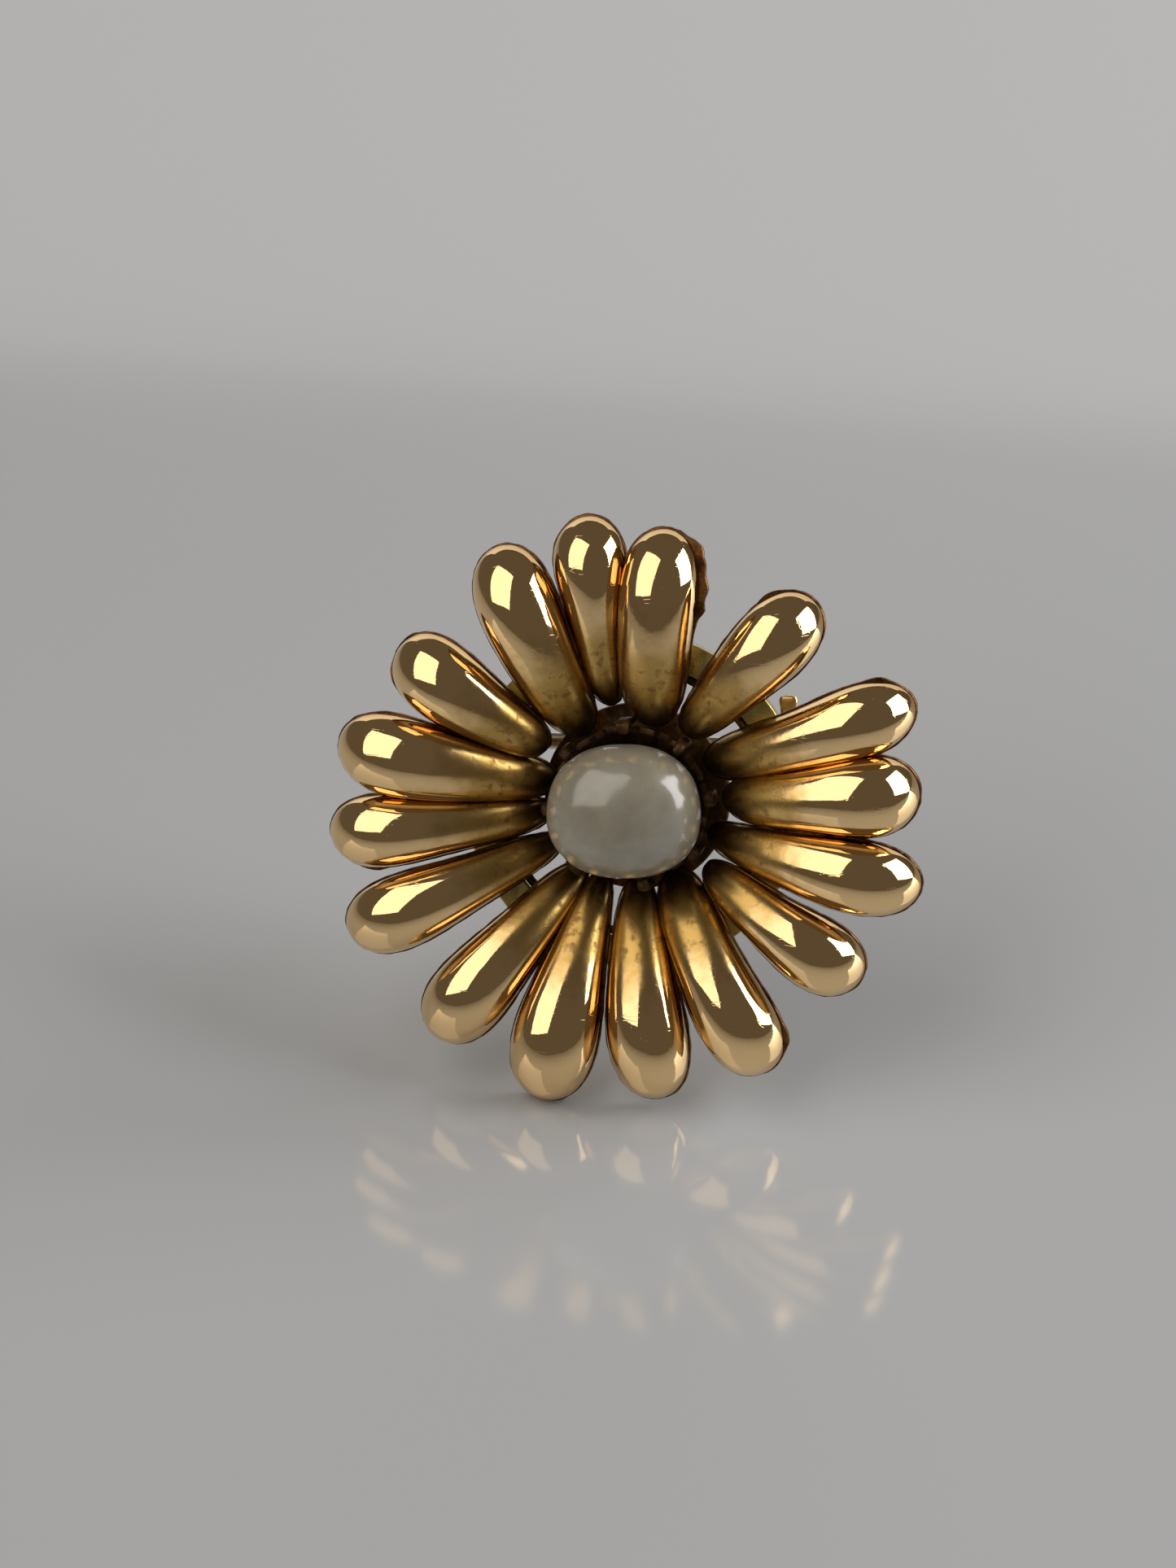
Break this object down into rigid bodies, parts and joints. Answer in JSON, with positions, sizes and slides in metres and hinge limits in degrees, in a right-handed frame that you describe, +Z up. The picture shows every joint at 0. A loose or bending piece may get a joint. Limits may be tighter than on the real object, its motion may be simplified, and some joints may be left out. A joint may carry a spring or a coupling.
{
  "type": "flower brooch",
  "caption": "Round flower brooch of puffed hollow gold petals about a button pearl, with a hinged pin and a roll-over safety catch behind.",
  "frame": {"origin": "middle of the pin stem's free length, on its axis, with the pin closed", "axes": "as worn: the face looks along -Y, +Z is up, the pin lies along X with its hinge at -X and its point at +X"},
  "size_m": [0.0275, 0.0092, 0.0272],
  "materials": {
    "petal_gold": "high polish, rubbed, duller at the inner ends",
    "petal_back_gold": "rough cut sheet, tarnished",
    "band_gold": "satin, greenish gold",
    "old_gold": "file marked, dark in the hollows",
    "fitting_gold": "satin, lightly worn",
    "steel": "fine drawn wire, slightly dulled",
    "pearl": "satin nacre with growth rings"
  },
  "bodies": {
    "flower": {"petal_01_shell": "petal_gold", "petal_01_back": "petal_back_gold", "petal_02_shell": "petal_gold", "petal_02_back": "petal_back_gold", "petal_03_shell": "petal_gold", "petal_03_back": "petal_back_gold", "petal_04_shell": "petal_gold", "petal_04_back": "petal_back_gold", "petal_05_shell": "petal_gold", "petal_05_back": "petal_back_gold", "petal_06_shell": "petal_gold", "petal_06_back": "petal_back_gold", "petal_07_shell": "petal_gold", "petal_07_back": "petal_back_gold", "petal_08_shell": "petal_gold", "petal_08_back": "petal_back_gold", "petal_09_shell": "petal_gold", "petal_09_back": "petal_back_gold", "petal_10_shell": "petal_gold", "petal_10_back": "petal_back_gold", "petal_11_shell": "petal_gold", "petal_11_back": "petal_back_gold", "petal_12_shell": "petal_gold", "petal_12_back": "petal_back_gold", "petal_13_shell": "petal_gold", "petal_13_back": "petal_back_gold", "petal_14_shell": "petal_gold", "petal_14_back": "petal_back_gold", "petal_15_shell": "petal_gold", "petal_15_back": "petal_back_gold", "petal_16_shell": "petal_gold", "petal_16_back": "petal_back_gold", "pearl": "pearl", "pearl_cup": "old_gold", "pearl_peg": "old_gold", "pearl_claws": "old_gold", "centre_disc": "old_gold", "back_ring": "band_gold", "ring_wire": "old_gold", "ring_pegs": "old_gold", "hinge_fork": "fitting_gold", "hinge_rivet": "steel", "catch_housing": "fitting_gold"},
    "pin": {"pin_stem": "steel"},
    "sleeve": {"catch_sleeve": "fitting_gold"}
  },
  "joints": [
    {"name": "pin_hinge", "type": "hinge", "parent": "flower", "child": "pin", "pos_m": [-0.00675, 0, 0], "axis": [0, 0, 1], "range_deg": [0, 100]},
    {"name": "catch_turn", "type": "hinge", "parent": "flower", "child": "sleeve", "pos_m": [0.00675, 0, 0], "axis": [1, 0, 0], "range_deg": [-130, 0]}
  ]
}
